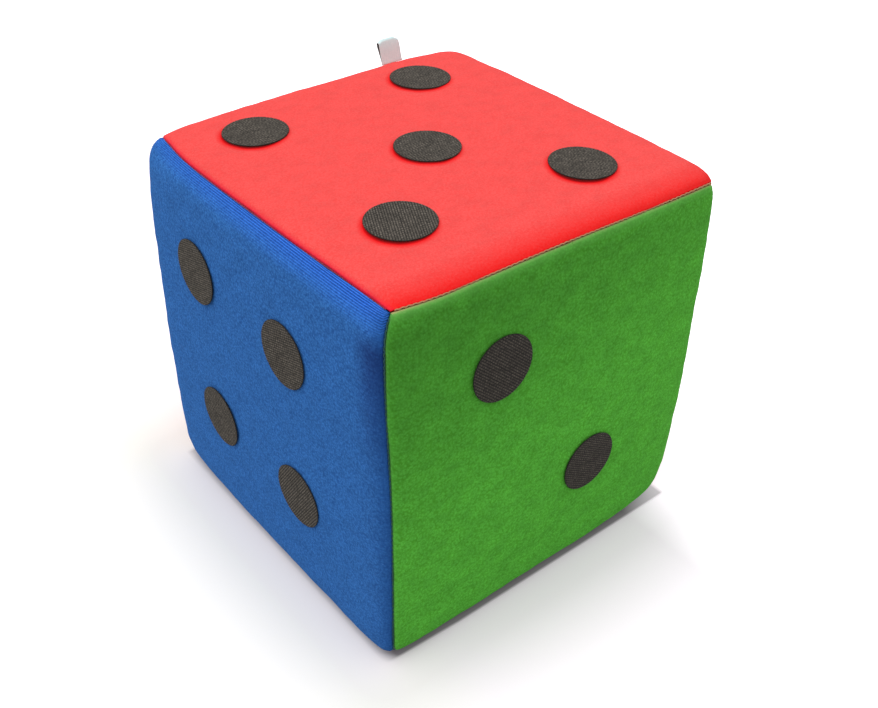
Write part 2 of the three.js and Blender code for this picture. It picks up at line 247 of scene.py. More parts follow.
def smooth(value, low, high):
    """0 below low, 1 above high and an even step between them."""
    share = np.clip((value - low) / (high - low), 0, 1)
    return share ** 2 * (3 - 2 * share)


def level_down(distance):
    """The level that lies a given way down a seam's own slope."""
    return distance / math.sqrt(2)


def face_rays(face, s, t, inset):
    """Rays to places on a face; s and t run from -1 to 1 between its seams, inset that far from them."""
    rays = face["out"] * seam_reach(face["out"])
    for line, share in ((face["across"], s), (face["up"], t)):
        low = math.sqrt(2) * inset - seam_reach(-line)
        high = seam_reach(line) - math.sqrt(2) * inset
        rays = rays + (low + (high - low) * (share[..., None] + 1) / 2) * line
    return rays


def ripple(points, length, seed):
    """Smooth noise from -1 to 1 over points, its waves about length long."""
    draw = np.random.default_rng(seed)
    waves = 7
    total = 0
    for _ in range(waves):
        heading = unit_of(draw.normal(size=3))
        wave = math.tau / (length * draw.uniform(0.7, 1.5))
        total = total + np.sin(points @ heading * wave + draw.uniform(0, math.tau))
    return total / math.sqrt(waves) / 1.5


# Meshes

class Skin:
    """Collects the points and faces of one closed skin, and where each point lies on the flat cloth."""

    def __init__(self):
        self.points = np.empty((0, 3))
        self.cloth = np.empty((0, 2))
        self.faces = []

    def add(self, points, cloth):
        """Adds points and gives back their indices in the same arrangement."""
        first = len(self.points)
        self.points = np.concatenate([self.points, points.reshape(-1, 3)])
        self.cloth = np.concatenate([self.cloth, cloth.reshape(-1, 2)])
        return np.arange(first, len(self.points)).reshape(points.shape[:-1])

    def sheet(self, index, inward=False):
        quads = np.stack([index[:-1, :-1], index[1:, :-1], index[1:, 1:], index[:-1, 1:]], axis=-1)
        quads = quads.reshape(-1, 4)
        self.faces += (quads[:, ::-1] if inward else quads).tolist()

    def strip(self, upper, lower):
        """Faces between two closed loops of as many points, anticlockwise from outside."""
        quads = np.stack([upper, lower, np.roll(lower, -1), np.roll(upper, -1)], axis=-1)
        self.faces += quads.tolist()

    def ring(self, loop, points, cloth):
        """Adds a closed loop of points, with the faces from the last loop to it."""
        following = self.add(points, cloth)
        self.strip(loop, following)
        return following

    def fan(self, fine, coarse):
        """Triangles from a closed loop to one inside it with a whole fraction of its points."""
        every = len(fine) // len(coarse)
        for k, corner in enumerate(coarse):
            following = coarse[(k + 1) % len(coarse)]
            steps = [fine[(k * every + m) % len(fine)] for m in range(every + 1)]
            middle = every // 2
            for m in range(every):
                self.faces.append([steps[m], corner if m < middle else following, steps[m + 1]])
            self.faces.append([steps[middle], corner, following])


def rim(index):
    """The outer indices of a grid as one loop, anticlockwise seen from outside."""
    return np.concatenate([index[:-1, 0], index[-1, :-1], index[:0:-1, -1], index[0, :0:-1]])


def vertex_normals(points, faces):
    corners = np.array([face if len(face) == 4 else face + face[-1:] for face in faces])
    a, b, c, d = (points[corners[:, k]] for k in range(4))
    flat = np.cross(c - a, d - b)
    normals = np.zeros_like(points)
    for k in range(4):
        for part in range(3):
            normals[:, part] += np.bincount(corners[:, k], flat[:, part], len(points))
    return normals / np.maximum(np.linalg.norm(normals, axis=1, keepdims=True), 1e-12)


def placed(name, data, place=Matrix()):
    """An object in the scene."""
    made = bpy.data.objects.new(name, data)
    bpy.context.scene.collection.objects.link(made)
    made.matrix_world = place
    return made


def smooth_mesh(name, points, faces, *materials, **attributes):
    """A smooth mesh with its materials and its point attributes, which are numbers or places."""
    mesh = bpy.data.meshes.new(name)
    mesh.from_pydata(np.asarray(points).tolist(), [], faces)
    mesh.polygons.foreach_set("use_smooth", [True] * len(mesh.polygons))
    for key, values in attributes.items():
        kind, field = "FLOAT", "value"
        if values.ndim == 2:
            kind, field = "FLOAT_VECTOR", "vector"
            values = np.pad(values, ((0, 0), (0, 3 - values.shape[1])))
        made = mesh.attributes.new(key, kind, "POINT")
        made.data.foreach_set(field, values.astype(np.float32).ravel())
    for material in materials:
        mesh.materials.append(material)
    return mesh


def shaped(name, points, faces, *materials, **attributes):
    """An object of a smooth mesh."""
    return placed(name, smooth_mesh(name, points, faces, *materials, **attributes))


# Materials

WHITE = (1, 1, 1, 1)
BLACK = (0, 0, 0, 1)


def shade_of(colour, factor=1.0):
    """A colour times a factor, as a shader takes it."""
    return (*(min(1.0, part * factor) for part in colour), 1.0)


class Nodes:
    """The nodes of a material or a world; each call that adds a node gives back its output."""

    def __init__(self, owner):
        owner.use_nodes = True
        self.owner = owner
        self.tree = owner.node_tree

    def join(self, value, socket):
        if isinstance(value, bpy.types.NodeSocket):
            self.tree.links.new(value, socket)
        else:
            socket.default_value = value

    def add(self, kind, inputs, output=0, **settings):
        node = self.tree.nodes.new("ShaderNode" + kind)
        for key, value in settings.items():
            setattr(node, key, value)
        for key, value in inputs.items():
            self.join(value, node.inputs[key])
        return node.outputs[output]

    def attribute(self, name, output="Vector"):
        return self.add("Attribute", {}, output, attribute_name=name)

    def on_object(self):
        return self.add("TexCoord", {}, "Object")

    def noise_on_object(self, size, detail, roughness=0.5):
        return self.noise(self.scaled(self.on_object(), size), detail, roughness)

    def parts(self, vector):
        """The X, Y and Z parts of a vector, by name."""
        return self.add("SeparateXYZ", {0: vector}).node.outputs

    def scaled(self, at, along, across=None):
        """A place counted in lengths, which may differ along and across."""
        across = across or along
        lengths = (1 / along, 1 / across, 1 / across)
        return self.add("VectorMath", {0: at, 1: lengths}, operation="MULTIPLY")

    def noise(self, at, detail=2.0, roughness=0.5):
        inputs = {"Vector": at, "Scale": 1.0, "Detail": detail, "Roughness": roughness}
        return self.add("TexNoise", inputs, "Fac")

    def cells(self, at):
        inputs = {"Vector": at, "Scale": 1.0, "Smoothness": 0.5}
        return self.add("TexVoronoi", inputs, "Distance", feature="SMOOTH_F1")

    def maths(self, operation, one, other=0.0):
        return self.add("Math", {0: one, 1: other}, operation=operation)

    def times(self, one, other):
        return self.maths("MULTIPLY", one, other)

    def plus(self, one, other):
        return self.maths("ADD", one, other)

    def spread(self, value, low, high, start=0.0, end=1.0):
        """A value that goes from start at low to end at high."""
        inputs = {"Value": value, "From Min": low, "From Max": high, "To Min": start, "To Max": end}
        return self.add("MapRange", inputs)

    def blend(self, share, one, other, mode="MIX"):
        inputs = {0: share, 6: one, 7: other}
        return self.add("Mix", inputs, 2, data_type="RGBA", blend_type=mode)

    def toned(self, base, tone):
        """A colour times a tone, which is a number or another colour."""
        return self.blend(1.0, base, tone, "MULTIPLY")


class Shader(Nodes):
    """A material, by its nodes."""

    def __init__(self, name):
        super().__init__(bpy.data.materials.new(name))
        self.surface = self.tree.nodes["Principled BSDF"].inputs

    def raise_by(self, height, depth):
        """Bumps the surface where a height from 0 to 1 stands for a depth."""
        inputs = {"Height": height, "Distance": depth, "Strength": 1.0}
        self.join(self.add("Bump", inputs), self.surface["Normal"])

    def dress(self, colour, roughness, specular=0.5, sheen=0.0):
        """Gives the surface its colour and its even values, and gives back the material."""
        self.join(colour, self.surface["Base Color"])
        self.surface["Roughness"].default_value = roughness
        self.surface["Specular IOR Level"].default_value = specular
        self.surface["Sheen Weight"].default_value = sheen
        return self.owner


# The fabrics

# Patches of the pile that lie differently: their size, and where their noise starts and ends.
PATCH_SIZE = (9 * MM, 7 * MM)
PATCHES = (0.35, 0.65)

# The ribs of the knit: how far below the top seam they are whole and gone, how much sooner further
# from the front seam, how far they wander, and the colours of their hollows and tips.
RIBS_SHOW = (3 * MM, 12 * MM)
RIBS_SLANT = 0.03
RIBS_WAVER = (6 * MM, 3 * MM)
# The ribs are the knit's own; both colours are paler than the pile's, as painted light on the top roll.
RIB_HOLLOW = (0.012, 0.090, 0.46)
RIB_TIP = (0.055, 0.245, 0.98)


class Pile(Shader):
    """Loop pile: a mottle of loops a grain wide, with darker hollows between their paler tips.

    The other methods change its colour in turn. Low and high are the distances from the seams.
    """

    def __init__(self, name, tip, hollow, grain, contrast, mottle=0.09):
        super().__init__(name)
        self.tip, self.hollow = tip, hollow
        self.cloth = self.attribute("cloth")
        self.low, self.high = (self.parts(self.attribute(side)) for side in ("low", "high"))
        loops = self.cells(self.scaled(self.cloth, grain))
        self.curls = self.noise(self.scaled(self.cloth, grain * 1.5), detail=4.0, roughness=0.75)
        self.patches = self.noise(self.scaled(self.cloth, *PATCH_SIZE), detail=5.0, roughness=0.65)
        self.height = self.plus(self.curls, self.spread(loops, 0.1, 0.7, 0.35, 0.0))
        self.bumps = self.times(self.height, 0.5)
        share = self.spread(self.height, 0.40, 0.85, 1 - contrast, 1.0)
        self.base = self.blend(share, shade_of(hollow), shade_of(tip))
        self.tone(self.spread(self.patches, *PATCHES, 1 - mottle, 1 + 0.8 * mottle))

    def tone(self, tone):
        self.base = self.toned(self.base, tone)

    def rib(self):
        """Knits ribs, plain below the top seam and faint beyond, with painted light on the plain band
        over the top roll.
        """
        waver = self.noise(self.scaled(self.cloth, *RIBS_WAVER), detail=1.0)
        turn = self.plus(self.times(self.parts(self.cloth)["Y"], math.tau / RIB_PITCH), waver)
        wale = self.spread(self.maths("COSINE", turn), -1.0, 1.0)
        slanted = self.plus(self.high["Y"], self.times(self.high["X"], RIBS_SLANT))
        near = self.spread(slanted, *RIBS_SHOW, 1.0, 0.0)
        knit = self.blend(wale, shade_of(RIB_HOLLOW), shade_of(RIB_TIP))
        # Painted light, strongest at the top seam.
        knit = self.toned(knit, self.spread(self.high["Y"], 0.0, 9 * MM, 1.08, 0.90))
        knit = self.toned(knit, self.spread(self.height, 0.3, 0.9, 0.78, 1.12))
        self.base = self.blend(near, self.base, knit)
        faint = self.maths("MAXIMUM", near, self.spread(self.patches, *PATCHES, 0.0, 0.3))
        ribs = self.times(wale, faint)
        self.tone(self.spread(ribs, 0.0, 1.0, 0.95, 1.05))
        self.bumps = self.plus(self.bumps, self.times(ribs, 0.8))

    def painted_top_left_shade(self, reach, darkest):
        """Paints shade on the pile, darkest towards the face's upper corner at its low end."""
        away = self.plus(self.high["Y"], self.times(self.low["X"], 0.35))
        self.tone(self.spread(away, 0.05 * reach, reach, darkest, 1.0))

    def band(self, beside, start, end, tint, strength, shown=1.0):
        """Tints the pile beside a seam, from start to end with an edge as loose as its curls."""
        loose = self.times(self.maths("SUBTRACT", self.curls, 0.5), (end - start) * 0.8)
        fade = self.spread(self.plus(beside, loose), start, end, strength, 0.0)
        self.base = self.blend(self.times(fade, shown), self.base, shade_of(tint))

    def painted_corner_shade(self, reach, darkest):
        """Paints shade on the pile beside the high side's seam, most below the top roll."""
        beside = self.spread(self.high["X"], 0.5 * reach, reach, 1.0, 0.0)
        below = self.spread(self.high["Y"], 9 * MM, 16 * MM)
        above = self.spread(self.high["Y"], 20 * MM, 65 * MM, 1.0, 0.12)
        share = self.times(beside, self.times(below, above))
        self.tone(self.blend(share, WHITE, shade_of(darkest)))

    def disc_shade(self, tint):
        """Tints the pile in the shade just outside each disc, and blackens it in the deepest part."""
        clear = self.attribute("clear", "Fac")
        outside = self.spread(self.attribute("beyond_disc", "Fac"), -1.3 * MM, -0.3 * MM)
        tinted = self.times(outside, self.spread(clear, -1.0 * MM, 1.4 * MM, 1.0, 0.0))
        deepest = self.times(outside, self.spread(clear, -2.0 * MM, -0.6 * MM, 0.8, 0.0))
        self.base = self.blend(tinted, self.base, shade_of(tint))
        self.base = self.blend(deepest, self.base, BLACK)

    def specks(self, strength):
        """Darkens small places where the pile is thin."""
        dots = self.noise(self.scaled(self.cloth, 1.3 * MM, 1.0 * MM), detail=2.0)
        share = self.spread(dots, 0.62, 0.76, 0.0, strength)
        self.base = self.blend(share, self.base, shade_of(self.hollow, 0.8))

    def finish(self, sheen=0.25):
        self.raise_by(self.bumps, 0.25 * MM)
        self.surface["Sheen Roughness"].default_value = 0.5
        self.surface["Sheen Tint"].default_value = shade_of(self.tip, 1.3)
        return self.dress(self.base, roughness=0.95, specular=0.15, sheen=sheen)


def red_fabric():
    """The top's: a deeper red over the front roll and a crimson line beside the blue, both painted
    shade.
    """
    pile = Pile("loop_red", (0.98, 0.111, 0.105), (0.95, 0.050, 0.044), 0.6 * MM, 0.6, mottle=0.05)
    # Painted shade: a deeper red over the front roll, where less light falls.
    pile.band(pile.low["Y"], 0, 13 * MM, (0.95, 0.010, 0.010), 0.87)
    pile.band(pile.low["Y"], 0, 5 * MM, (0.94, 0.001, 0.001), 0.5)
    # Painted shade: a crimson line in the groove below the blue's roll, faded out before the front end.
    off_the_end = pile.spread(pile.high["Y"], 3 * MM, 16 * MM)
    pile.band(pile.low["X"], 0.5 * MM, 2.5 * MM, (0.95, 0.02, 0.045), 1.0, off_the_end)
    pile.band(pile.low["X"], 0.2 * MM, 1.2 * MM, (0.45, 0.002, 0.035), 1.0, off_the_end)
    pile.disc_shade((0.95, 0.001, 0.004))
    return pile.finish(sheen=0.1)


def green_fabric():
    """The front's: fuzzy, specked, painted shade at the top left, a painted highlight on its top roll,
    pale fluff in the top seam.
    """
    pile = Pile("loop_green", (0.137, 0.62, 0.070), (0.075, 0.36, 0.018), 0.8 * MM, 0.9, mottle=0.14)
    # Painted shade, darkest at the top left.
    pile.painted_top_left_shade(100 * MM, 0.55)
    # Painted highlight: a paler green along the top roll, where light falls from above; the two bands
    # after it are pale fluff in the seam.
    pile.band(pile.high["Y"], 1 * MM, 5 * MM, (0.155, 0.49, 0.10), 0.6)
    pile.band(pile.high["Y"], 0.3 * MM, 2.5 * MM, (0.30, 0.46, 0.15), 0.8)
    pile.band(pile.high["Y"], 0.5 * MM, 1.5 * MM, (0.60, 0.50, 0.24), 0.9)
    pile.band(pile.low["X"], 0, 2 * MM, (0.16, 0.42, 0.13), 0.5)
    pile.specks(0.6)
    return pile.finish()


def blue_fabric():
    """The left side's: a ribbed knit, with painted shade beside the front seam."""
    pile = Pile("loop_blue", (0.052, 0.230, 0.655), (0.013, 0.077, 0.31), 0.75 * MM, 0.8)
    pile.rib()
    # Painted shade: darker beside the front seam, where the cloth turns away from the light.
    pile.band(pile.high["X"], 1 * MM, 7 * MM, (0.012, 0.08, 0.30), 0.7)
    # Painted shade below the top roll, beside the front seam.
    pile.painted_corner_shade(14 * MM, (0.45, 0.40, 0.52))
    return pile.finish()


def orange_fabric():
    return Pile("loop_orange", (0.88, 0.30, 0.03), (0.68, 0.14, 0.01), 0.7 * MM, 0.5).finish()


def yellow_fabric():
    return Pile("loop_yellow", (0.90, 0.62, 0.05), (0.72, 0.40, 0.02), 0.7 * MM, 0.5).finish()


def violet_fabric():
    return Pile("loop_violet", (0.22, 0.09, 0.38), (0.11, 0.03, 0.22), 0.7 * MM, 0.6).finish()


# The other finishes

def foam_finish():
    """Open-cell foam: small round pores, paler walls between them."""
    shader = Shader("foam_finish")
    pores = shader.cells(shader.scaled(shader.on_object(), 1.1 * MM))
    dust = shader.noise_on_object(5 * MM, detail=3.0)
    share = shader.times(shader.spread(pores, 0.1, 0.6), shader.spread(dust, 0.3, 0.7, 0.85, 1.0))
    base = shader.blend(share, (0.52, 0.47, 0.36, 1), (0.82, 0.78, 0.66, 1))
    shader.raise_by(pores, 0.4 * MM)
    return shader.dress(base, roughness=0.95, specular=0.2)


def thread_finish(name, shade, light, sheen=0.3):
    """Spun polyester: a soft sheen and a little colour change along its length."""
    shader = Shader(name)
    fluff = shader.noise_on_object(0.3 * MM, detail=3.0)
    base = shader.blend(fluff, shade_of(shade), shade_of(light))
    shader.raise_by(fluff, 0.05 * MM)
    return shader.dress(base, roughness=0.7, sheen=sheen)


def weave_finish(name, tone):
    """Woven nylon tape: grey yarn floats that catch the light, with near-black gaps between them."""
    shader = Shader(name)
    relief = shader.attribute("relief", "Fac")
    yarns = shader.noise_on_object(0.8 * MM, detail=4.0, roughness=0.75)
    patches = shader.noise_on_object(3 * MM, detail=3.0)
    share = shader.times(shader.spread(relief, 0.25, 0.9), shader.spread(yarns, 0.36, 0.64, 0.1, 1.1))
    gaps, floats = (0.018, 0.017, 0.015), (0.205, 0.176, 0.146)
    base = shader.blend(share, shade_of(gaps, tone), shade_of(floats, tone))
    base = shader.toned(base, shader.spread(patches, 0.3, 0.7, 0.75, 1.15))
    shader.raise_by(yarns, 0.06 * MM)
    return shader.dress(base, roughness=0.8, specular=0.15)


def hook_finish():
    """Moulded nylon monofilament: near black and slightly glossy."""
    shader = Shader("hook_finish")
    drawn = shader.noise_on_object(0.5 * MM, detail=2.0)
    base = shader.blend(drawn, (0.01, 0.01, 0.012, 1), (0.03, 0.03, 0.032, 1))
    return shader.dress(base, roughness=0.4, specular=0.4)


def ribbon_finish(name, colour, shade):
    """Woven satin ribbon: fine warp lines along it, finer weft across."""
    shader = Shader(name)
    cloth = shader.attribute("cloth")
    warp = shader.noise(shader.scaled(cloth, 0.25 * MM, 3 * MM), detail=2.0)
    weft = shader.noise(shader.scaled(cloth, 2 * MM, 0.2 * MM), detail=1.0)
    height = shader.plus(warp, shader.times(weft, 0.5))
    base = shader.blend(shader.spread(height, 0.45, 1.05), shade_of(shade), shade_of(colour))
    shader.raise_by(height, 0.04 * MM)
    return shader.dress(base, roughness=0.45, sheen=0.3)


# The cover

def grid_lines(count, ease):
    """Places from -1 to 1, crowded towards both ends where ease is above 1."""
    w = np.linspace(-1, 1, count + 1)
    return np.sign(w) * (1 - (1 - np.abs(w)) ** ease)


def arc_lengths(points, along):
    """How far each point of a grid lies from the grid's middle, measured on the surface."""
    steps = np.linalg.norm(np.diff(points, axis=along), axis=-1)
    start = np.zeros_like(np.take(steps, [0], axis=along))
    length = np.concatenate([start, np.cumsum(steps, axis=along)], axis=along)
    return length - np.take(length, [steps.shape[along] // 2], axis=along)


def face_grid(face, s, t, inset, level):
    """The points of a face on a grid, and where each lies on the flat cloth."""
    points = form_points(face_rays(face, *np.meshgrid(s, t, indexing="ij"), inset), level)
    return points, np.stack([arc_lengths(points, 0), arc_lengths(points, 1)], axis=-1)


# Steps round the roll into a seam, how much coarser a panel's inner side is, and the band beside the
# top and bottom seams whose rows lie close enough for the ribs.
ROLL_STEPS = 10
COARSE = 8
RIB_BAND = 11 * MM
RIB_ROWS = 64
# Grid cells across and up a panel, and across and up the ribbed one.
PANEL_GRID = (144, 144)
RIBBED_GRID = (96, 256)
EDGE_EASE = 1.25
# The waves in the cloth: each one's height, length and seed.
WAVES = [(0.20 * MM, 26 * MM, 11), (0.09 * MM, 7 * MM, 12)]
PUCKER_DEPTH = 0.14 * MM
RIB_HEIGHT = 0.16 * MM


def ribbed_lines(length, rows):
    """Places from -1 to 1, close enough in a band at both ends to carry the ribs."""
    band = 2 * RIB_BAND / length
    ends = np.linspace(-1, band - 1, RIB_ROWS + 1)
    middle = np.linspace(band - 1, 1 - band, rows - 2 * RIB_ROWS + 1)
    return np.concatenate([ends, middle[1:-1], -ends[::-1]])


def edge_distances(grid):
    """How far each point of a grid lies from its low and then its high edges, along its own lines."""
    low = [grid[..., 0] - grid[:1, :, 0], grid[..., 1] - grid[:, :1, 1]]
    high = [grid[-1:, :, 0] - grid[..., 0], grid[:, -1:, 1] - grid[..., 1]]
    return np.stack(low + high, axis=-1).reshape(-1, 4)


def rim_places(s, t):
    return (rim(value) for value in np.meshgrid(s, t, indexing="ij"))


def panel_skin(face, ribbed):
    """One panel: its face, the roll into its seams, the allowances turned in, and its inner side.

    Gives back the skin, how many of its points show, and their distances from the low and high edges.
    """
    skin = Skin()
    gap = SEAM_GAP / 2
    roll = face["roll"]
    columns, rows = RIBBED_GRID if ribbed else PANEL_GRID
    s = grid_lines(columns, EDGE_EASE)
    t = ribbed_lines(2 * HALF[2], rows) if ribbed else grid_lines(rows, EDGE_EASE)
    outer = skin.add(*face_grid(face, s, t, gap + roll, 0))
    skin.sheet(outer)
    loop = rim(outer)
    s_rim, t_rim = rim_places(s, t)
    away = np.stack([np.trunc(s_rim), np.trunc(t_rim)], axis=-1)
    last, place = skin.points[loop], skin.cloth[loop]
    besides = [edge_distances(skin.cloth[outer])]
    beside = besides[0][loop]
    turns = [k / ROLL_STEPS * math.pi / 2 for k in range(1, ROLL_STEPS + 1)]
    profile = [(gap + roll * (1 - math.sin(turn)), roll * (1 - math.cos(turn))) for turn in turns]
    profile += [(gap, roll + 2 * MM), (gap, ALLOWANCE_DEPTH)]
    profile.append((gap + ALLOWANCE_THICKNESS, ALLOWANCE_DEPTH))
    for inset, depth in profile:
        points = form_points(face_rays(face, s_rim, t_rim, inset), level_down(depth))
        shift = away * np.linalg.norm(points - last, axis=-1, keepdims=True)
        place = place + shift
        beside = beside + np.concatenate([shift, -shift], axis=1)
        besides.append(beside)
        loop, last = skin.ring(loop, points, place), points
    inset = gap + ALLOWANCE_THICKNESS
    inner = skin.add(*face_grid(face, s[::COARSE], t[::COARSE], inset, FABRIC_THICKNESS))
    skin.sheet(inner, inward=True)
    skin.fan(loop, rim(inner))
    besides.append(np.zeros((inner.size, 4)))
    beside = np.concatenate(besides) + math.pi / 2 * roll
    return skin, outer.size + ROLL_STEPS * len(s_rim), beside[:, :2], beside[:, 2:]


# How far from the roll the dimples beside a seam are deepest, and how wide they are.
PUCKER_PLACE = 0.8 * MM
PUCKER_WIDTH = 0.9 * MM


def seam_puckers(beside, cloth, roll):
    """Dimples where the stitches pull the cloth down beside each seam, from 0 to 1."""
    dimple = np.exp(-((beside - 0.7 * roll - PUCKER_PLACE) / PUCKER_WIDTH) ** 2)
    stitch = 0.5 + 0.5 * np.cos(math.tau * cloth[:, ::-1] / STITCH)
    return (dimple * stitch).sum(axis=1)


def spot_seats(face):
    """The middle of the surface under each of a face's discs, and the direction that it faces there."""
    spots = np.array(face["spots"]) * (1, 1, MM, MM)
    outer = [abs(HALF @ face[line]) - face["inset"] * MM for line in ("across", "up")]
    step = DISC_RADIUS / 2
    around = np.array([(0, 0), (step, 0), (-step, 0), (0, step), (0, -step)])
    for centre in spots[:, :2] * outer + spots[:, 2:]:
        places = around + centre
        rays = face["out"] * abs(HALF @ face["out"])
        rays = rays + places[:, :1] * face["across"] + places[:, 1:] * face["up"]
        middle, right, left, above, below = form_points(rays)
        yield middle, unit_of(np.cross(right - left, above - below))


def spot_clearance(face, points, shift):
    """How far points of a face lie outside the nearest disc, or outside its place after a shift."""
    nearest = np.full(len(points), DISC_RADIUS)
    for middle, facing in spot_seats(face):
        away = points - middle - shift
        away = away - (away @ facing)[:, None] * facing
        nearest = np.minimum(nearest, np.linalg.norm(away, axis=1) - DISC_RADIUS)
    return nearest


def panel(name, material):
    """One panel of the cover, with its waves, its puckers and the ribs of the knit one."""
    face = FACES[name]
    ribbed = name == "left"
    skin, showing, low, high = panel_skin(face, ribbed)
    height = sum(size * ripple(skin.points, length, seed) for size, length, seed in WAVES)
    height -= PUCKER_DEPTH * seam_puckers(np.minimum(low, high), skin.cloth, face["roll"])
    if ribbed:
        wale = 0.5 + 0.5 * np.cos(math.tau * skin.cloth[:, 1] / RIB_PITCH)
        near = smooth(np.minimum(low, high)[:, 1], 0.8 * RIB_BAND, 0.4 * RIB_BAND)
        height += RIB_HEIGHT * near * (wale - 0.5)
    height[showing:] = 0
    points = skin.points + vertex_normals(skin.points, skin.faces) * height[:, None]
    made = shaped(
        name + "_cover", points, skin.faces, material, cloth=skin.cloth, low=low, high=high,
        clear=spot_clearance(face, points, SHADE_SHIFT), beyond_disc=spot_clearance(face, points, 0),
    )
    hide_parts(name + "_panel")
    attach(made, "cube")
    cut = [float(seam_reach(line) + seam_reach(-line) + 2 * ALLOWANCE_DEPTH)
           for line in (face["across"], face["up"])]


# The foam block

def foam(material):
    """Six faces under the panels, with a channel along each edge for the allowances."""
    skin = Skin()
    inset = SEAM_GAP / 2 + ALLOWANCE_THICKNESS + SEAT_GAP
    channel = level_down(ALLOWANCE_DEPTH) + SEAT_GAP
    lines = grid_lines(88, 1.2)
    for face in FACES.values():
        points, cloth = face_grid(face, lines, lines, inset, FABRIC_THICKNESS + SEAT_GAP)
        top = skin.add(points, cloth)
        skin.sheet(top)
        loop = rim(top)
        for far in (inset, 0):
            points = form_points(face_rays(face, *rim_places(lines, lines), far), channel)
            loop = skin.ring(loop, points, skin.cloth[loop])
    pores = 0.12 * MM * ripple(skin.points, 2.5 * MM, 21)
    points = skin.points + vertex_normals(skin.points, skin.faces) * np.minimum(pores, 0)[:, None]
    made = shaped("foam_core", points, skin.faces, material)
    weld(made, 0.05 * MM)
    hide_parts("foam_block")
    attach(made, "cube")


def weld(made, distance):
    """Joins points of a mesh that lie on each other."""
    modifier = made.modifiers.new("weld", "WELD")
    modifier.merge_threshold = distance
    bpy.context.view_layer.update()
    mesh = bpy.data.meshes.new_from_object(made.evaluated_get(bpy.context.evaluated_depsgraph_get()))
    made.modifiers.remove(modifier)
    made.data = mesh


# Seam threads

THREAD_STEPS = 520
THREAD_SWAY = 0.12 * MM
THREAD_LIFT = 0.1 * MM
PLY_TWIST = 1.1 * MM
PLY_SIDES = 5


def tube(route, radii, sides):
    """Points and faces of a closed round tube along a route, with its two ends capped."""
    route = np.asarray(route)
    heading = unit_of(np.gradient(route, axis=0))
    side = unit_of(np.cross(heading, heading[0][[1, 2, 0]] + 0.3))
    across = np.cross(heading, side)
    turns = np.linspace(0, math.tau, sides, endpoint=False)[:, None]
    ring = np.cos(turns) * side[:, None] + np.sin(turns) * across[:, None]
    points = route[:, None] + ring * np.broadcast_to(radii, len(route))[:, None, None]
    index = np.arange(points.shape[0] * sides).reshape(-1, sides)
    faces = []
    for one, other in zip(index[:-1], index[1:]):
        faces += np.stack([one, np.roll(one, -1), np.roll(other, -1), other], axis=-1).tolist()
    faces += [index[0][::-1].tolist(), index[-1].tolist()]
    return points.reshape(-1, 3), faces


def gather(parts):
    """Joins the points and faces of several bodies."""
    points, faces, first = [], [], 0
    for part, part_faces in parts:
        points.append(part)
        faces += [[k + first for k in face] for face in part_faces]
        first += len(part)
    return np.concatenate(points), faces


# How deep the thread lies in the seams that the photo shows, and how far it swings to each side.
STITCHES = {
    ("top", "left"): (0.50 * MM, 0.03 * MM),
    ("top", "front"): (0.34 * MM, 0.10 * MM),
    ("front", "left"): (0.55 * MM, 0.10 * MM),
}


def seam_thread(one, other, material):
    """Two plies twisted together, stitched from side to side over the groove."""
    depth, sway = STITCHES.get((one, other), (THREAD_DEPTH, THREAD_SWAY))
    out, other_out = FACES[one]["out"], FACES[other]["out"]
    rise, across = unit_of(out + other_out), unit_of(out - other_out)
    line = np.cross(out, other_out)
    ends = [-THREAD_END * seam_reach(-line), THREAD_END * seam_reach(line)]
    rays = out * seam_reach(out) + other_out * seam_reach(other_out)
    rays = rays + np.linspace(*ends, THREAD_STEPS)[:, None] * line
    route = form_points(rays, level_down(depth))
    length = np.linalg.norm(np.diff(route, axis=0), axis=1).sum()
    along = np.linspace(0, length, THREAD_STEPS)
    swing = sway * np.sin(math.tau * along / STITCH)
    lift = THREAD_LIFT * np.abs(np.cos(math.tau * along / STITCH))
    middle = route + across * swing[:, None] + rise * lift[:, None]
    plies = []
    for ply in (0, math.pi):
        twist = math.tau * along / PLY_TWIST + ply
        offset = across * np.cos(twist)[:, None] + rise * np.sin(twist)[:, None]
        plies.append(tube(middle + offset * PLY_RADIUS, PLY_RADIUS * 1.15, PLY_SIDES))
    points, faces = gather(plies)
    made = shaped(f"stitching_{one}_{other}", points, faces, material)
    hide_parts(f"seam_thread_{one}_{other}")
    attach(made, "cube")


# Hook-tape discs

# The weave: from row to row and from float to float, how deep it is, and the cut edge's bevel.
ROW_PITCH = 0.9 * MM
FLOAT_PITCH = 1.25 * MM
WEAVE_DEPTH = 0.16 * MM
CUT_BEVEL = 0.22 * MM
DISC_STEPS = 120
# The cut edge from the top down: how many bevels out, and how many thirds of the backing down.
CUT_EDGE = [(0.6, 0.3), (1, 0.9), (0.9, 1.6), (0.6, 2.6), (0, 3.0)]
# A hook's stem from the backing down and curled round, and how thick it is there, in millimetres.
HOOK_STEM = [
    (0, 0), (0, -0.45), (0.04, -0.8), (0.2, -1.05), (0.42, -1.08), (0.58, -0.88), (0.56, -0.68),
]
HOOK_RADII = [0.13, 0.11, 0.1, 0.1, 0.09, 0.08, 0.05]
HOOK_PITCH = 1.45 * MM
HOOK_MARGIN = 1.1 * MM


def weave_height(x, y):
    """The woven face from 0 to 1: rows of yarn floats, laid like bricks."""
    row = np.floor(y / ROW_PITCH)
    ridge = np.abs(np.sin(math.pi * y / ROW_PITCH)) ** 0.7
    stagger = 0.5 * np.mod(row, 2) + 0.12 * np.sin(row * 2.4)
    floats = np.abs(np.sin(math.pi * (x / FLOAT_PITCH + stagger))) ** 0.6
    return ridge * (0.35 + 0.65 * floats)


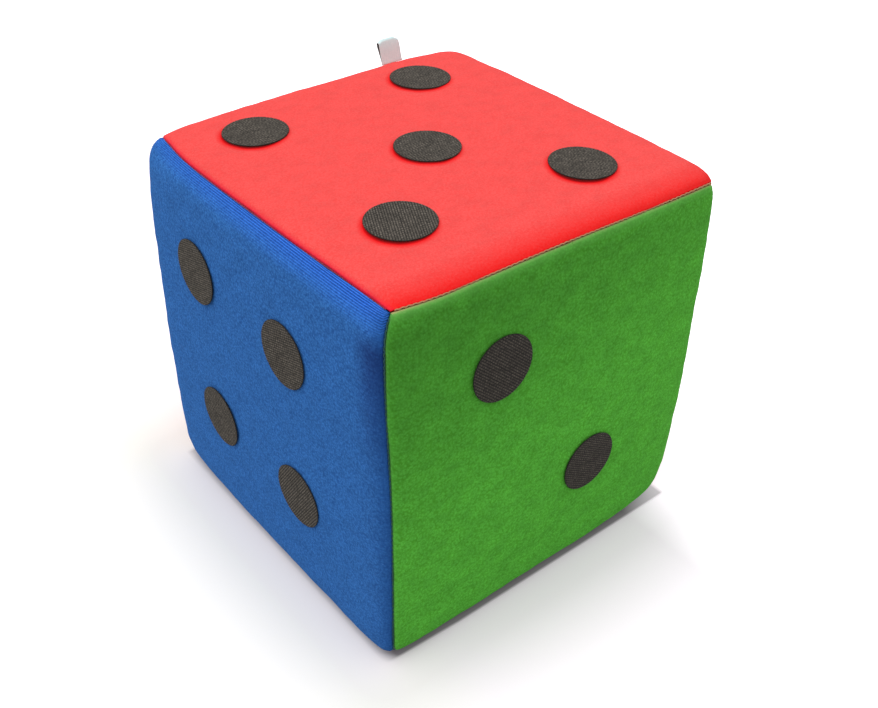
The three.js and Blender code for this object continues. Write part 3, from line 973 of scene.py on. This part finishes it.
def disc_backing():
    """The woven backing: a square grid mapped onto a circle, a cut edge and a flat underside."""
    line = np.linspace(-1, 1, DISC_STEPS + 1)
    a, b = np.meshgrid(line, line, indexing="ij")
    inner = DISC_RADIUS - CUT_BEVEL
    x, y = inner * a * np.sqrt(1 - b ** 2 / 2), inner * b * np.sqrt(1 - a ** 2 / 2)
    woven = weave_height(x, y)
    top = HOOK_HEIGHT + WEAVE_THICKNESS
    skin = Skin()
    relief = [woven.ravel()]
    face = np.stack([x, y, top - WEAVE_DEPTH * (1 - woven)], axis=-1)
    index = skin.add(face, face[..., :2])
    skin.sheet(index)
    loop = rim(index)
    edge = skin.points[loop]
    turn = np.arctan2(edge[:, 1], edge[:, 0])
    ragged = 1 + 0.004 * np.sin(turn * 61) + 0.003 * np.sin(turn * 97 + 1)
    for out, down in CUT_EDGE:
        radius = (inner + out * CUT_BEVEL) * ragged
        depth = np.full(len(edge), top - down * WEAVE_THICKNESS / 3)
        if down < 1:
            depth = np.minimum(edge[:, 2], depth)
        points = np.stack([radius * np.cos(turn), radius * np.sin(turn), depth], axis=-1)
        loop = skin.ring(loop, points, points[:, :2])
        relief.append(np.full(len(edge), 0.35))
    under = 0.97 * skin.points[index][::COARSE, ::COARSE]
    under[..., 2] = HOOK_HEIGHT
    below = skin.add(under, under[..., :2])
    relief.append(np.zeros(below.size))
    skin.sheet(below, inward=True)
    skin.fan(loop, rim(below))
    return skin.points, skin.faces, np.concatenate(relief)


def hook_field():
    """Rows of hooks, facing left and right by turns."""
    reach = int(DISC_RADIUS / HOOK_PITCH)
    points, faces = tube([(x * MM, 0, z * MM) for x, z in HOOK_STEM], np.array(HOOK_RADII) * MM, 5)
    parts = []
    for i in range(-reach, reach + 1):
        for j in range(-reach, reach + 1):
            x, y = (i + 0.5 * (j % 2)) * HOOK_PITCH, j * HOOK_PITCH
            side = 1 if (i + j) % 2 else -1
            if math.hypot(x, y) < DISC_RADIUS - HOOK_MARGIN:
                parts.append((points * (side, side, 1) + (x, y, HOOK_HEIGHT + 0.05 * MM), faces))
    return gather(parts)


def disc_mesh(weave, hooks):
    """The mesh that all discs share."""
    backing, backing_faces, relief = disc_backing()
    field, field_faces = hook_field()
    points, faces = gather([(backing, backing_faces), (field, field_faces)])
    relief = np.concatenate([relief, np.zeros(len(field))])
    mesh = smooth_mesh("disc_pattern", points, faces, weave, hooks, relief=relief)
    slots = [0] * len(backing_faces) + [1] * len(field_faces)
    mesh.polygons.foreach_set("material_index", slots)
    return mesh


def discs(weave, front_weave, hooks):
    """All the discs; those on the front have a darker weave, for they face away from the light."""
    shared = disc_mesh(weave, hooks)
    darker = shared.copy()
    darker.materials[0] = front_weave
    draw = np.random.default_rng(5)
    for name, face in FACES.items():
        for k, (middle, facing) in enumerate(spot_seats(face), start=1):
            turn = Matrix.Rotation(draw.uniform(0, math.tau), 4, "Z")
            tilt = Vector(facing).to_track_quat("Z", "Y").to_matrix().to_4x4()
            place = Matrix.Translation(middle + facing * (DISC_GAP - OTHERS_SUNK.get(name, HOOKS_SUNK)))
            shown = RIM_SHOWN.get(name, 1)
            place = place @ tilt @ turn @ Matrix.Diagonal((shown, shown, 1, 1))
            made = placed(f"{name}_hook_disc_{k}", darker if name == "front" else shared, place)
            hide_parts(f"{name}_disc_{k}")
            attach(made, f"{name}_spot_{k}")


# The ribbon

def seam_stand(lean):
    """The ribbon's turn and place in the back seam; its own Y stands lean up from the seam's slope."""
    slope = np.array([0, seam_reach(Y), seam_reach(Z)])
    angle = math.atan2(slope[2], slope[1]) + lean
    up = np.array([0, math.cos(angle), math.sin(angle)])
    basis = np.stack([np.cross(up, X), up, X], axis=1)
    return basis, form_points(slope + TAB_PLACE * X)


def tab_line():
    """The loop's middle line from the side: up from the seam, round the fold and down again."""
    half = RIBBON_THICKNESS / 2
    fold = TAB_OPEN / 2 + half
    top = TAB_REACH - fold - half
    share = np.linspace(0, 1, TAB_STEPS + 1)
    spread = half + (fold - half) * smooth(share, 0, 1)
    rise = SEAT_GAP + (top - SEAT_GAP) * share
    turn = np.linspace(0, math.pi, FOLD_STEPS + 1)[1:-1]
    arc = np.stack([fold * np.cos(turn), top + fold * np.sin(turn)], axis=-1)
    right = np.stack([spread, rise], axis=-1)
    left = np.stack([-spread, rise], axis=-1)[::-1]
    return np.concatenate([right, arc, left])


def ribbon_body(side):
    """A ribbon swept over its width from a side view of x and y, its fold narrowed and rounded."""
    fold = np.clip((side[:, 1] - 0.6 * TAB_REACH) / (0.4 * TAB_REACH), 0, 1)
    lines = np.linspace(-1, 1, RIBBON_STEPS + 1)
    points = np.empty((len(lines), len(side), 3))
    for k, line in enumerate(lines):
        rounded = TAB_ROUND * smooth(abs(line), 0.55, 1.1) * fold
        points[k, :, 0] = side[:, 0]
        points[k, :, 1] = side[:, 1] - rounded
        points[k, :, 2] = line * RIBBON_WIDTH / 2 * (1 - 0.05 * fold ** 2) - TAB_SLANT * side[:, 1]
    return points


def ribbon_tab(front, inside):
    """The folded loop, with its front outside and its shaded side within."""
    middle = tab_line()
    heading = unit_of(np.gradient(middle, axis=0))
    out = np.stack([heading[:, 1], -heading[:, 0]], axis=-1) * RIBBON_THICKNESS / 2
    length = np.concatenate([[0], np.cumsum(np.linalg.norm(np.diff(middle, axis=0), axis=1))])
    skin = Skin()
    sides = []
    for side in (middle + out, middle - INNER_SHARE * out):
        points = ribbon_body(side)
        cloth = np.stack([points[..., 2], np.broadcast_to(length, points.shape[:2])], axis=-1)
        sides.append(skin.add(points, cloth).T)
    outer, inner = sides
    skin.sheet(outer)
    first_inside = len(skin.faces)
    skin.sheet(inner, inward=True)
    last_inside = len(skin.faces)
    skin.strip(rim(outer), rim(inner))
    basis, place = seam_stand(TAB_LEAN)
    points = skin.points @ basis.T + place
    made = shaped("ribbon_loop", points, skin.faces, front, inside, cloth=skin.cloth)
    slots = [int(first_inside <= k < last_inside) for k in range(len(skin.faces))]
    made.data.polygons.foreach_set("material_index", slots)
    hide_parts("ribbon_tab")
    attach(made, "tab")


def ribbon_ends(front):
    """The ribbon's two ends, side by side between the allowances below the thread."""
    top = -(THREAD_DEPTH + THREAD_RADIUS + SEAT_GAP)
    basis, place = seam_stand(0)
    u, v = np.meshgrid(np.linspace(-1, 1, 17), np.linspace(0, 1, 13), indexing="ij")
    bow = 0.03 * MM * np.sin(v * 5 + u * 3)
    parts = []
    for side in (-1, 1):
        skin = Skin()
        layers = []
        for thick in (0.05, 0.95):
            x = side * RIBBON_THICKNESS * thick + bow * (1 - thick)
            layer = np.stack([x, top - v * TAB_SEWN, u * RIBBON_WIDTH / 2], axis=-1)
            layers.append(skin.add(layer, layer[..., 1:]))
        lower, upper = layers[::side]
        skin.sheet(layers[1], inward=side < 0)
        skin.sheet(layers[0], inward=side > 0)
        skin.strip(rim(upper), rim(lower))
        parts.append((skin.points, skin.faces))
    points, faces = gather(parts)
    made = shaped("ribbon_ends", points @ basis.T + place, faces, front, cloth=points[:, [2, 1]])
    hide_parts("ribbon_sewn_ends")
    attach(made, "cube")


# The room

CAMERA_PLACE = Vector(CENTRE + (-0.2284, -0.2827, 0.2563))
CAMERA_AIM = Vector(CENTRE + (0.0011, -0.0090, -0.0086))
CAMERA_ROLL = math.radians(1.43)
CAMERA_LENS = 46.1

# The light: a dome all round, and one lamp at an azimuth from +X towards +Y and a height.
DOME_COLOUR = (0.97, 0.98, 1.0, 1)
DOME_STRENGTH = 0.60
SUN_AZIMUTH = math.radians(190)
SUN_HEIGHT = math.radians(68)
SUN_STRENGTH = 1.52
SUN_SOFTNESS = math.radians(70)
SUN_COLOUR = (1.0, 0.99, 0.97)

# The floor's reach, its colours where it is lit, tinted as painted light against the colour of the light
# beside the cube, the colour of its painted shadow under the cube, and how the cube sees it.
FLOOR_REACH = 6.0
LIT_FLOOR_LEFT = (0.97, 0.95, 0.905, 1)
LIT_FLOOR_RIGHT = (0.995, 0.905, 0.995, 1)
PAINTED_FLOOR_SHADOW = (0.275, 0.245, 0.27, 1)
FLOOR_FOR_OTHERS = (0.35, 0.35, 0.35, 1)


def camera():
    data = bpy.data.cameras.new("camera")
    data.sensor_width = 36
    data.lens = CAMERA_LENS
    look = (CAMERA_AIM - CAMERA_PLACE).to_track_quat("-Z", "Y").to_matrix().to_4x4()
    place = Matrix.Translation(CAMERA_PLACE) @ look @ Matrix.Rotation(CAMERA_ROLL, 4, "Z")
    bpy.context.scene.camera = placed("camera", data, place)


def seen_plainly(nodes):
    """1 where the camera, gloss or clear material sees a surface, and 0 where it only lights others."""
    rays = nodes.add("LightPath", {}).node.outputs
    total = rays["Is Camera Ray"]
    for name in ("Is Glossy Ray", "Is Transmission Ray"):
        total = nodes.maths("MAXIMUM", total, rays[name])
    return total


def world():
    """White all round for the camera, and a plain dome of light for the cube."""
    made = bpy.data.worlds.new("studio")
    bpy.context.scene.world = made
    nodes = Nodes(made)
    dome = nodes.tree.nodes["Background"]
    dome.inputs["Color"].default_value = DOME_COLOUR
    dome.inputs["Strength"].default_value = DOME_STRENGTH
    white = nodes.add("Background", {"Color": WHITE, "Strength": 1.0})
    either = nodes.add("MixShader", {0: seen_plainly(nodes), 1: dome.outputs[0], 2: white})
    nodes.join(either, nodes.tree.nodes["World Output"].inputs["Surface"])


def beside_cube(shader, x, y):
    """How far a place on the floor lies outside the cube."""
    apart = []
    for along in (x, y):
        beyond = shader.maths("SUBTRACT", shader.maths("ABSOLUTE", along), float(HALF[0]))
        apart.append(shader.maths("POWER", shader.maths("MAXIMUM", beyond, 0.0), 2.0))
    return shader.maths("SQRT", shader.plus(*apart))


def under_cube(shader, x, y):
    """1 in the shadow painted under the cube: its front end slants a little and its near corner is cut
    off.
    """
    slanted = shader.plus(y, shader.times(shader.maths("MINIMUM", x, -40 * MM), 0.04))
    cut_off = shader.plus(x, y)
    ends = [(slanted, -75.9, -74.7), (cut_off, -146, -139), (y, 75, 73), (x, -74, -68), (x, 75, 73)]
    share = 1.0
    for value, lit_at, dark_at in ends:
        share = shader.times(share, shader.spread(value, lit_at * MM, dark_at * MM))
    return share


def floor():
    """A wide white floor, with a painted shadow under the cube and painted light glowing a little
    further out to keep it white.
    """
    shader = Shader("floor_finish")
    seen = seen_plainly(shader)
    places = shader.parts(shader.on_object())
    x, y = places["X"], places["Y"]
    # Painted light: the floor glows more the further it lies from the cube, and more on its right, to
    # lift the cube's shadow there.
    glow = shader.spread(beside_cube(shader, x, y), 12 * MM, 60 * MM, 0.03, 0.34)
    glow = shader.plus(glow, shader.spread(x, 52 * MM, 76 * MM, 0.0, 0.4))
    # Painted light: tints that offset the colour of the light on the floor, warm on the left and pink on
    # the right.
    lit = shader.blend(shader.spread(x, -90 * MM, -50 * MM), LIT_FLOOR_LEFT, LIT_FLOOR_RIGHT)
    # Painted shadow on the floor under the cube.
    shown = shader.blend(under_cube(shader, x, y), lit, PAINTED_FLOOR_SHADOW)
    shader.join(shader.times(seen, glow), shader.surface["Emission Strength"])
    shader.surface["Emission Color"].default_value = WHITE
    shader.dress(shader.blend(seen, FLOOR_FOR_OTHERS, shown), roughness=0.9, specular=0.0)
    side = FLOOR_REACH
    corners = [(-side, -side, 0), (side, -side, 0), (side, side, 0), (-side, side, 0)]
    shaped("floor", corners, [[0, 1, 2, 3]], shader.owner)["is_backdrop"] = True


def sun():
    """One soft lamp far away."""
    data = bpy.data.lights.new("overhead", "SUN")
    data.energy = SUN_STRENGTH
    data.angle = SUN_SOFTNESS
    data.color = SUN_COLOUR
    a, h = SUN_AZIMUTH, SUN_HEIGHT
    towards = Vector((math.cos(a) * math.cos(h), math.sin(a) * math.cos(h), math.sin(h)))
    placed("overhead", data, towards.to_track_quat("Z", "Y").to_matrix().to_4x4())


def room():
    bpy.context.scene.view_settings.view_transform = "Standard"
    camera()
    world()
    floor()
    sun()


def cover():
    """The six panels."""
    fabrics = {
        "top": red_fabric, "front": green_fabric, "left": blue_fabric,
        "right": orange_fabric, "back": yellow_fabric, "bottom": violet_fabric,
    }
    for side, fabric in fabrics.items():
        panel(side, fabric())


def stitching():
    """The thread in all seams: dyed by its neighbours' fluff in the three in view, with painted shade in
    two grooves.
    """
    plain = thread_finish("thread_finish", (0.16, 0.13, 0.11), (0.46, 0.42, 0.37))
    dyed_and_shaded = {
        # Dyed red by the fluff, and dark as painted shade in the groove below the blue's roll.
        ("top", "left"): thread_finish("thread_crimson", (0.20, 0.002, 0.02), (0.50, 0.01, 0.06)),
        ("top", "front"): thread_finish("thread_brown", (0.34, 0.12, 0.05), (0.75, 0.38, 0.18)),
        # Near black as painted shade in the groove between blue and green.
        ("front", "left"): thread_finish("thread_dark", (0.008, 0.05, 0.055), (0.02, 0.12, 0.10), 0.0),
    }
    for one, other in SEAMS:
        seam_thread(one, other, dyed_and_shaded.get((one, other), plain))


def ribbon():
    """The ribbon's sewn ends and its loop."""
    # Painted light: the satin has less red, to offset the red light that the top bounces onto it.
    satin = ribbon_finish("ribbon_satin", (0.82, 1.0, 1.0), (0.66, 0.88, 0.88))
    # Painted shade: the inside of the loop is a dark sheet, for little light gets in.
    inside_shade = ribbon_finish("ribbon_lining", (0.09, 0.11, 0.10), (0.05, 0.06, 0.055))
    ribbon_ends(satin)
    ribbon_tab(satin, inside_shade)


room()
foam(foam_finish())
cover()
stitching()
discs(weave_finish("weave_finish", 1.0), weave_finish("weave_in_shade", 0.65), hook_finish())
ribbon()

bpy.context.view_layer.update()
sizes = {"cad": cad_box, "visual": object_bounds()}
{key: [[float(v) for v in corner] for corner in box] for key, box in sizes.items()}
